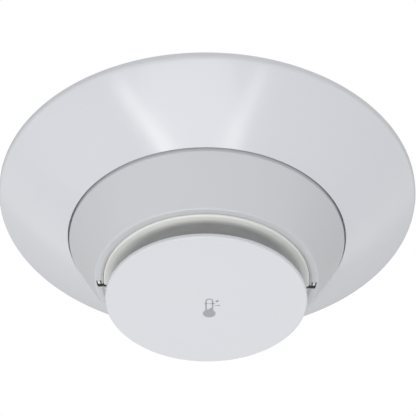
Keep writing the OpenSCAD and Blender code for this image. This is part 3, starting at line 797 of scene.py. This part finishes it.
def screw(name, head_radius, head_height, thread_radius, shank, pitch):
    """A pan-head screw with a rolled thread: the head stands on height 0 and the shank hangs below it."""
    sides = 36
    dome = [(0.03, 1.0), (0.3, 0.995), (0.55, 0.96), (0.75, 0.88), (0.9, 0.74), (0.98, 0.52), (1.0, 0.28),
            (0.99, 0.08), (0.96, 0.0)]
    rows = [[p.to_3d() + Vector((0, 0, head_height * z)) for p in circle(head_radius * r, steps=sides)]
            for r, z in dome]
    depth = pitch * 0.36
    count = int(shank / pitch * 6)
    for i in range(count + 1):
        z = -shank * i / count
        to_tip = max(0.0, 1 - (shank + z) / (1.2 * pitch))
        row = []
        for j in range(sides):
            phase = (z / pitch + j / sides) % 1
            ridge = 1 - abs(2 * phase - 1)
            r = thread_radius - depth * (1 - ridge) * (1 if i else 0) - thread_radius * 0.35 * to_tip
            row.append(Vector((r * math.cos(TURN * j / sides), r * math.sin(TURN * j / sides), z)))
        rows.append(row)
    made = stack(name, rows)
    recess = cross_recess(head_radius * 1.2, head_height * 0.6)
    recess.data.transform(Matrix.Translation((0, 0, head_height * 0.995)))
    return combine(made, [recess], "DIFFERENCE")


def random_turns(seed):
    """Four turns about the Z axis, the same at every run."""
    rng = random.Random(seed)
    return [Matrix.Rotation(rng.uniform(0, TURN), 4, "Z") for _ in range(4)]


class DETECTOR_OT_terminals(bpy.types.Operator):
    """Builds the terminal strips, wire clamps and terminal screws"""
    bl_idname = "detector.terminals"
    bl_label = "Terminals"

    def execute(self, context):
        sizes, screws = context.scene.detector_small, context.scene.detector_screws
        steel = metal("zinc_plate", (0.62, 0.63, 0.62), (0.55, 0.53, 0.44), 0.3)
        refined("terminal_strip_set", "terminal_strips",
                metal("tinned_brass", (0.68, 0.64, 0.52), (0.55, 0.47, 0.30), 0.28, 6), sizes.metal_edge)
        refined("wire_clamp_set", "terminal_clamps",
                metal("clamp_zinc", (0.60, 0.61, 0.61), (0.5, 0.49, 0.45), 0.34, 4), sizes.metal_edge)
        head_low, top = low("terminal_screws").z, high("terminal_screws").z
        seat = low("terminal_clamps").z + screws.clamp
        one = screw("terminal_screw", screws.terminal_head, seat - head_low, screws.terminal_thread,
                    top - seat, screws.terminal_pitch)
        flip = Matrix.Rotation(math.pi, 4, "X")
        made = copies("terminal_screw_set", one, [
            around(a, screws.terminal_reach, seat) @ flip @ turn
            for a, turn in zip(TERMINAL_ANGLES, random_turns(4))])
        soften(made, 0)
        stand_in(made, "terminal_screws", steel)
        return {"FINISHED"}


class DETECTOR_OT_lever(bpy.types.Operator):
    """Builds the tamper lever"""
    bl_idname = "detector.lever"
    bl_label = "Tamper lever"

    def execute(self, context):
        sizes = context.scene.detector_small
        refined("tamper_arm", "tamper_lever",
                moulded("lever_plastic", (0.68, 0.68, 0.66), 0.4), sizes.plastic_edge, 3)
        return {"FINISHED"}


# ---- Back of the head ----


def numerals(sizes, centre, height):
    """The figures 0 to 9 in a ring around a dial, as thin printed shapes that read from above."""
    made = []
    for figure in range(10):
        curve = bpy.data.curves.new("figure", "FONT")
        curve.body = str(figure)
        curve.size = sizes.numeral
        curve.extrude = sizes.figure_ink
        curve.resolution_u = 3
        curve.align_x = "CENTER"
        curve.align_y = "CENTER"
        text = new_object("figure", curve)
        mesh = bpy.data.meshes.new_from_object(text.evaluated_get(bpy.context.evaluated_depsgraph_get()))
        bpy.data.objects.remove(text)
        matrix = (Matrix.Translation((centre, 0, height)) @ Matrix.Rotation(-TURN * figure / 10, 4, "Z")
                  @ Matrix.Translation((0, sizes.numeral_ring, 0)))
        mesh.transform(matrix)
        made.append(new_object("figure", mesh))
    return made


class DETECTOR_OT_back(bpy.types.Operator):
    """Builds the back cover, its screws, the contact blades and the numbers around the dials"""
    bl_idname = "detector.back"
    bl_label = "Back of the head"

    def execute(self, context):
        sizes, colours, screws = (context.scene.detector_small, context.scene.detector_finish,
                                  context.scene.detector_screws)
        refined("back_moulding", "back_cover",
                moulded("back_plastic", colours.base, 0.42, 0.3 * MM, 0.005 * MM, 0.03), sizes.plastic_edge)
        refined("contact_blade_set", "contact_blades",
                metal("spring_bronze", (0.78, 0.60, 0.36), (0.6, 0.42, 0.24), 0.26, 5), sizes.metal_edge)
        top, bottom = high("cover_screws").z, low("cover_screws").z
        seat = top - screws.cover_head_height
        reach = high("cover_screws").y - screws.cover_head
        one = screw("cover_screw", screws.cover_head, screws.cover_head_height, screws.cover_thread,
                    seat - bottom, screws.cover_pitch)
        made = copies("cover_screw_set", one, [
            around(a, reach, seat) @ turn for a, turn in zip(COVER_SCREW_ANGLES, random_turns(9))])
        soften(made, 0)
        stand_in(made, "cover_screws",
                 metal("screw_steel", (0.60, 0.60, 0.60), (0.48, 0.46, 0.42), 0.3))
        face = high("tens_dial").z + sizes.recess
        figures = []
        for node in ("tens_dial", "ones_dial"):
            figures += numerals(sizes, (low(node).x + high(node).x) / 2, face + sizes.figure_ink)
        marks = joined("dial_figures", figures)
        marks.data.materials.clear()
        marks.data.materials.append(printed("figure_ink", (0.06, 0.06, 0.065)))
        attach(marks, "head")
        return {"FINISHED"}


class DETECTOR_OT_dials(bpy.types.Operator):
    """Builds the two address dials with their pointers, and their switches"""
    bl_idname = "detector.dials"
    bl_label = "Address dials"

    def execute(self, context):
        sizes = context.scene.detector_small
        white = moulded("dial_plastic", (0.75, 0.75, 0.73), 0.35, 0.25 * MM)
        ink = printed("pointer_ink", (0.5, 0.05, 0.03))
        for node, body in (("tens_dial", "tens"), ("ones_dial", "ones")):
            refined(body + "_knob", node, white, sizes.plastic_edge)
            centre = (low(node).x + high(node).x) / 2
            top = high(node).z
            tip, half = sizes.pointer_tip, sizes.pointer_width / 2
            tail = tip - sizes.pointer_length
            pointer = prism(body + "_pointer", [(centre, tip), (centre - half, tail), (centre + half, tail)],
                            top - 2 * sizes.paint, top + sizes.paint)
            pointer.data.materials.append(ink)
            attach(pointer, body)
        refined("switch_body_pair", "address_switches",
                dark_moulding("switch_plastic", (0.02, 0.02, 0.022), 0.5), sizes.plastic_edge)
        return {"FINISHED"}


# ---- Detector head ----


def throat_edge(sizes):
    """Inner radius of the throat's band, where its curve starts."""
    return sizes.ring_radius - sizes.band - sizes.bevel_width - sizes.fit_gap - sizes.throat_band


def vane_span(head, cap):
    """Distances from the centre to the two ends of a vane."""
    return cap.vane_start, throat_edge(head) - head.cove_width - cap.vane_inset


def window_tools(sizes, top):
    """Tools that cut a window on both sides of the ring: a place for the light pipe beside a longer bar."""
    inner = sizes.ring_radius - sizes.band - 2 * sizes.fit_gap
    outer = sizes.ring_radius - sizes.window_edge
    front, back = -sizes.window_front, sizes.window_width - sizes.window_front
    bar = back - sizes.bar_width
    outline = [(inner, front), (outer, front), (outer - sizes.window_lean, back), (sizes.bar_reach, back),
               (sizes.bar_reach, bar), (inner, bar)]
    deep = low("throat_ring").z - MM
    return [prism("window", [(side * x, y) for x, y in outline], deep, top) for side in SIDES]


class DETECTOR_OT_cover(bpy.types.Operator):
    """Builds the sloping cover of the head, with the outer band of the ring"""
    bl_idname = "detector.cover"
    bl_label = "Head cover"

    def execute(self, context):
        sizes, colours = context.scene.detector_head, context.scene.detector_finish
        radius, top, bottom = high("head_cover").x, high("head_cover").z, low("head_cover").z
        ring, wall = sizes.ring_radius, sizes.wall
        cone_top = top - sizes.rim
        inner = high("circuit_board").x + sizes.board_gap
        band = ring - sizes.band
        seam = band - sizes.bevel_width
        lean = (radius - ring) / (cone_top - bottom)
        seat = ring + lean * (-sizes.seat_depth - bottom) - wall
        shell = lathe("head_shell", fillet([
            (inner, top, SMALL_EDGE), (radius, top, sizes.rim_edge), (radius, cone_top, sizes.rim_edge),
            (ring, bottom, sizes.ring_edge), (band, bottom, EDGE),
            (seam, bottom + sizes.bevel_height, sizes.fit_gap), (seam, -sizes.seat_depth, 0),
            (seat, -sizes.seat_depth, 0), (radius - wall, cone_top, EDGE),
            (radius - wall, top - wall, 0.4 * MM), (inner, top - wall, SMALL_EDGE)]))
        combine(shell, window_tools(sizes, sizes.flange + sizes.fit_gap - sizes.seat_depth), "DIFFERENCE")
        soften(shell, 0)
        stand_in(shell, "head_cover",
                 outer_moulding("cover_plastic", colours.cover, colours.gloss + 0.03))
        return {"FINISHED"}


class DETECTOR_OT_throat(bpy.types.Operator):
    """Builds the throat: the inner band of the ring, the curve inside it and the floor above the air gap"""
    bl_idname = "detector.throat"
    bl_label = "Throat ring"

    def execute(self, context):
        sizes, colours, screws = (context.scene.detector_head, context.scene.detector_finish,
                                  context.scene.detector_screws)
        bottom, flange, board = low("throat_ring").z, high("throat_ring").x, high("throat_ring").z
        inner = throat_edge(sizes)
        outer = inner + sizes.throat_band
        floor = bottom + sizes.cove_height
        floor_top = floor + sizes.floor
        wall = inner - sizes.throat_wall
        seat = -sizes.seat_depth
        steps = 24
        cove = [(inner - sizes.cove_width * (1 - i / steps),
                 bottom + sizes.cove_height * (1 + math.cos(math.pi * i / steps)) / 2, 0)
                for i in range(steps + 1)]
        outline = fillet([(sizes.sleeve_hole, floor, SMALL_EDGE)] + cove + [
            (outer, bottom, sizes.throat_edge), (outer, seat, 0), (flange, seat, SMALL_EDGE),
            (flange, seat + sizes.flange, SMALL_EDGE), (wall, seat + sizes.flange, SMALL_EDGE),
            (wall, floor_top, EDGE), (sizes.sleeve_hole, floor_top, SMALL_EDGE)])
        throat = lathe("throat_moulding", outline)
        screw_reach = high("cover_screws").y - screws.cover_head
        bosses, bores = [], []
        for a in COVER_SCREW_ANGLES:
            centre = around(a, screw_reach).to_translation()
            bosses.append(prism("boss", circle(screws.boss, centre, 40), floor_top - BITE, board))
            bores.append(prism("bore", circle(screws.pilot, centre, 32), floor_top + BITE, board + MM))
        combine(throat, bosses, "UNION")
        peg_reach = sum(vane_span(sizes, context.scene.detector_cap)) / 2
        pegs = [prism("peg", circle(sizes.peg_hole, around(a, peg_reach).to_translation(), 32), floor - MM,
                      floor_top + MM) for a in TERMINAL_ANGLES]
        windows = window_tools(sizes, seat + sizes.flange + sizes.fit_gap)
        combine(throat, windows + bores + pegs, "DIFFERENCE")
        soften(throat, 0)
        # Its lighter, warmer colour paints light into the shaded recess under the cap.
        stand_in(throat, "throat_ring",
                 outer_moulding("throat_plastic", colours.throat, colours.gloss + 0.06))
        return {"FINISHED"}


def symbol(sizes, face):
    """A thermometer symbol: a filled bulb, an outlined stem, a level line, a plus and a minus."""
    middle, bulb_y = sizes.symbol_x, sizes.symbol_y
    bulb, stem, line = sizes.bulb / 2, sizes.stem / 2, sizes.line
    top = bulb_y - sizes.stem_length + stem
    end = bulb_y - bulb * 0.6
    low_face, high_face = face, face + sizes.ink * 1.5

    def bar(x, y, width, height):
        half_x, half_y = width / 2, height / 2
        corners = [(x - half_x, y - half_y), (x + half_x, y - half_y), (x + half_x, y + half_y),
                   (x - half_x, y + half_y)]
        rounding = min(width, height) * 0.3
        return prism("bar", fillet([(*corner, rounding) for corner in corners], 3), low_face, high_face)

    def leg(x):
        return Vector((middle + x, end))

    outer = circle(stem, (middle, top), 20, math.pi, math.pi)
    inner = circle(stem - line, (middle, top), 20, TURN, -math.pi)
    outline = [leg(-stem), *outer, leg(stem), leg(stem - line), *inner, leg(line - stem)]
    drawn = prism("stem", outline, low_face, high_face)
    filled = prism("bulb", circle(bulb, (middle, bulb_y), 48), low_face, high_face)
    column = bar(middle, bulb_y - bulb - sizes.column / 2 + line, 2 * stem - line, sizes.column + 2 * line)
    shape = combine(drawn, [filled, column], "UNION")
    sign_x = middle + sizes.sign_x
    plus_y, thick = sizes.plus_y, sizes.sign_line
    marks = [bar(middle, sizes.level_y, sizes.level, sizes.level_line),
             bar(sign_x, sizes.minus_y, sizes.sign, thick),
             bar(sign_x, plus_y, sizes.plus, thick), bar(sign_x, plus_y, thick, sizes.plus)]
    return joined("cap_symbol", [shape, *marks])


class DETECTOR_OT_cap(bpy.types.Operator):
    """Builds the flat cap with the vanes that carry it and its printed symbol"""
    bl_idname = "detector.cap"
    bl_label = "Cap"

    def execute(self, context):
        sizes, head, colours = (context.scene.detector_cap, context.scene.detector_head,
                                context.scene.detector_finish)
        radius, bottom, pegs_top = high("cap_disc").x, low("cap_disc").z, high("cap_disc").z
        face = bottom + sizes.ink
        top = bottom + sizes.thickness
        cap = lathe("cap_moulding", fillet([
            (0, face, 0), (radius, face, sizes.edge), (radius, top, EDGE), (0, top, 0)], 10))
        floor = low("throat_ring").z + head.cove_height
        vane_in, vane_out = vane_span(head, sizes)
        half = sizes.vane / 2
        vanes = []
        for a in TERMINAL_ANGLES:
            outline = fillet([(vane_in, -half, half * 0.95), (vane_out, -half, half * 0.95),
                              (vane_out, half, half * 0.95), (vane_in, half, half * 0.95)])
            vanes.append(prism("vane", outline, top - BITE, floor, around(a)))
            centre = around(a, (vane_in + vane_out) / 2).to_translation()
            vanes.append(prism("peg", circle(sizes.peg, centre, 32), floor - BITE, pegs_top))
        combine(cap, vanes, "UNION")
        soften(cap, 0)
        stand_in(cap, "cap_disc",
                 outer_moulding("cap_plastic", colours.cap, colours.gloss + 0.05, 0.01))
        marks = symbol(sizes, bottom)
        marks.data.materials.clear()
        marks.data.materials.append(printed("symbol_ink", colours.ink))
        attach(marks, "head")
        return {"FINISHED"}


class DETECTOR_OT_windows(bpy.types.Operator):
    """Builds the light pipes, their black shields and the status lights behind them"""
    bl_idname = "detector.windows"
    bl_label = "Status windows"

    def execute(self, context):
        refined("light_pipe_pair", "light_pipes", clear_plastic(), 0.08 * MM, 3)
        # The shields are black guards around the light pipes, and their near-black also paints the shade of
        # the deep slot beside each pipe.
        refined("light_shield_pair", "light_shields",
                dark_moulding("shield_plastic", (0.012, 0.012, 0.013), 0.5), 0.05 * MM)
        refined("led_pair", "status_leds", moulded("led_resin", (0.8, 0.79, 0.72), 0.25),
                0.15 * MM, 3)
        return {"FINISHED"}


# ---- Circuit board and thermistor ----


class DETECTOR_OT_board(bpy.types.Operator):
    """Finishes the circuit board and what it carries"""
    bl_idname = "detector.board"
    bl_label = "Circuit board"

    def execute(self, context):
        edge = context.scene.detector_small.metal_edge
        black = dark_moulding("chip_resin", (0.018, 0.018, 0.02), 0.45)
        refined("board_panel", "circuit_board", board_laminate(), edge)
        refined("controller_chip", "microcontroller", black, 0.05 * MM)
        refined("capacitor_pair", "capacitors",
                metal("capacitor_sleeve", (0.5, 0.52, 0.55), (0.4, 0.41, 0.43), 0.3), 0.35 * MM, 3)
        refined("surge_chip", "surge_suppressor", black, 0.2 * MM, 3)
        refined("reed_tube", "test_reed_switch", green_glass(), edge)
        refined("chip_part_set", "chip_parts",
                moulded("chip_ceramic", (0.36, 0.26, 0.16), 0.4, 0.2 * MM), edge)
        return {"FINISHED"}


class DETECTOR_OT_thermistor(bpy.types.Operator):
    """Builds the thermistor bead, its leads and its sleeve"""
    bl_idname = "detector.thermistor"
    bl_label = "Thermistor"

    def execute(self, context):
        bottom, top = low("thermistor").z, high("thermistor").z
        radius, middle = high("thermistor").x, (bottom + top) / 2
        drop = [(0, bottom)]
        drop += [(radius * math.sin(a), middle - radius * math.cos(a)) for a in
                 (math.pi * i / 24 for i in range(1, 17))]
        drop += [(radius * 0.74, top - 0.25 * MM), (radius * 0.62, top + 0.3 * MM),
                 (radius * 0.5, top + 0.9 * MM), (0, top + 1.0 * MM)]
        bead = lathe("resin_bead", drop, 64)
        bead.data.transform(Matrix.Diagonal((1, 0.86, 1, 1)))
        soften(bead, 0)
        stand_in(bead, "thermistor", resin_bead())
        refined("lead_pair", "thermistor_leads",
                metal("tinned_copper", (0.7, 0.69, 0.66), (0.6, 0.57, 0.5), 0.3), 0.03 * MM)
        refined("rubber_sleeve", "thermistor_sleeve",
                dark_moulding("sleeve_rubber", (0.05, 0.05, 0.052), 0.65), 0.25 * MM, 3)
        return {"FINISHED"}


# ---- Studio ----


# Place and size of each softbox, which faces the detector. The strips lie at the key's two ends.
SOFTBOXES = {
    "key": ((-0.095, -0.345, -0.957), (0.62, 0.6)),
    "left_strip": ((-0.415, -0.28, -0.957), (0.08, 0.45)),
    "right_strip": ((0.232, -0.345, -0.957), (0.07, 0.45)),
    "left_fill": ((-0.8, 0.1, -0.7), (0.6, 0.6)),
    "far_fill": ((0, 0.9, -0.5), (0.6, 0.6)),
    "front": ((0, -0.9, -0.75), (0.5, 0.3)),
    "top": ((0.3, -0.4, 1.2), (0.9, 0.9)),
}

def softbox(name, place_at, size, power):
    light = bpy.data.lights.new(name, "AREA")
    light.shape = "RECTANGLE"
    light.size, light.size_y = size
    light.energy = power
    lamp = bpy.data.objects.new(name, light)
    lamp.location = place_at
    lamp.rotation_mode = "QUATERNION"
    lamp.rotation_quaternion = (-Vector(place_at)).to_track_quat("-Z", "Y")
    lamp.visible_camera = False
    bpy.context.scene.collection.objects.link(lamp)
    return lamp


class DETECTOR_OT_studio(bpy.types.Operator):
    """Sets up the floor, the lights and the camera"""
    bl_idname = "detector.studio"
    bl_label = "Studio"

    def execute(self, context):
        scene, settings = context.scene, context.scene.detector_studio
        self.camera(scene, settings)
        self.world(scene, settings)
        for name, (place_at, size) in SOFTBOXES.items():
            softbox(name + "_light", place_at, size, getattr(settings, name))
        reach = 14.0
        ground = prism("floor", circle(reach, (0, 0), 128), -0.02, 0.0)
        ground.location.z = -settings.floor_depth
        ground.data.materials.append(floor_paint(settings))
        return {"FINISHED"}

    @staticmethod
    def camera(scene, settings):
        lens = bpy.data.cameras.new("camera")
        lens.lens = settings.lens
        lens.shift_x, lens.shift_y = 0.00185, -0.01687
        lens.clip_end = 100
        camera = bpy.data.objects.new("camera", lens)
        ahead = Vector((0, math.cos(settings.elevation), math.sin(settings.elevation)))
        right = Vector((1, 0, 0))
        up = right.cross(ahead)
        turn = Matrix.Rotation(settings.roll, 3, ahead)
        axes = Matrix((turn @ right, turn @ up, -ahead)).transposed().to_4x4()
        camera.matrix_world = Matrix.Translation(-settings.distance * ahead) @ axes
        scene.collection.objects.link(camera)
        scene.camera = camera

    @staticmethod
    def world(scene, settings):
        """White to the camera, and a dimmer room light to everything else."""
        world = bpy.data.worlds.new("studio")
        world.use_nodes = True
        world.node_tree.nodes.clear()
        start = Wire(world.node_tree)
        tint = (0.985, 0.99, 1.0, 1)
        room = start.node("ShaderNodeBackground", {}, {"Color": tint, "Strength": settings.room})
        white = start.node("ShaderNodeBackground", {}, {"Color": (1, 1, 1, 1), "Strength": 1.0})
        seen = start.node("ShaderNodeLightPath", output="Is Camera Ray")
        mixed = start.node("ShaderNodeMixShader", {}, {"Fac": seen, 1: room, 2: white})
        start.node("ShaderNodeOutputWorld", {}, {"Surface": mixed})
        scene.world = world
        scene.view_settings.view_transform = "Standard"
        scene.view_settings.look = "None"


# ---- Add-on ----


GROUPS = {"detector_skirt": SkirtSizes, "detector_head": HeadSizes, "detector_cap": CapSizes,
          "detector_small": SmallSizes, "detector_screws": ScrewSizes, "detector_finish": Finish,
          "detector_studio": StudioSettings}
OPERATORS = [DETECTOR_OT_studio, DETECTOR_OT_skirt, DETECTOR_OT_base, DETECTOR_OT_terminals,
             DETECTOR_OT_lever, DETECTOR_OT_back, DETECTOR_OT_dials, DETECTOR_OT_cover,
             DETECTOR_OT_throat, DETECTOR_OT_cap, DETECTOR_OT_windows, DETECTOR_OT_board,
             DETECTOR_OT_thermistor]


class DETECTOR_PT_panel(bpy.types.Panel):
    """Lists the pieces of the detector and their sizes"""
    bl_label = "Heat detector"
    bl_idname = "DETECTOR_PT_panel"
    bl_space_type = "VIEW_3D"
    bl_region_type = "UI"
    bl_category = "Detector"

    def draw(self, context):
        for operator in OPERATORS:
            self.layout.operator(operator.bl_idname)
        for name, group in GROUPS.items():
            box_layout = self.layout.box()
            for prop in group.__annotations__:
                box_layout.prop(getattr(context.scene, name), prop)


def register():
    for group in GROUPS.values():
        bpy.utils.register_class(group)
    for operator in OPERATORS:
        bpy.utils.register_class(operator)
    bpy.utils.register_class(DETECTOR_PT_panel)
    for name, group in GROUPS.items():
        setattr(bpy.types.Scene, name, bpy.props.PointerProperty(type=group))


def unregister():
    for name in GROUPS:
        delattr(bpy.types.Scene, name)
    bpy.utils.unregister_class(DETECTOR_PT_panel)
    for operator in reversed(OPERATORS):
        bpy.utils.unregister_class(operator)
    for group in reversed(list(GROUPS.values())):
        bpy.utils.unregister_class(group)


def main():
    register()
    for operator in OPERATORS:
        area, name = operator.bl_idname.split(".")
        getattr(getattr(bpy.ops, area), name)()


if __name__ == "__main__":
    main()
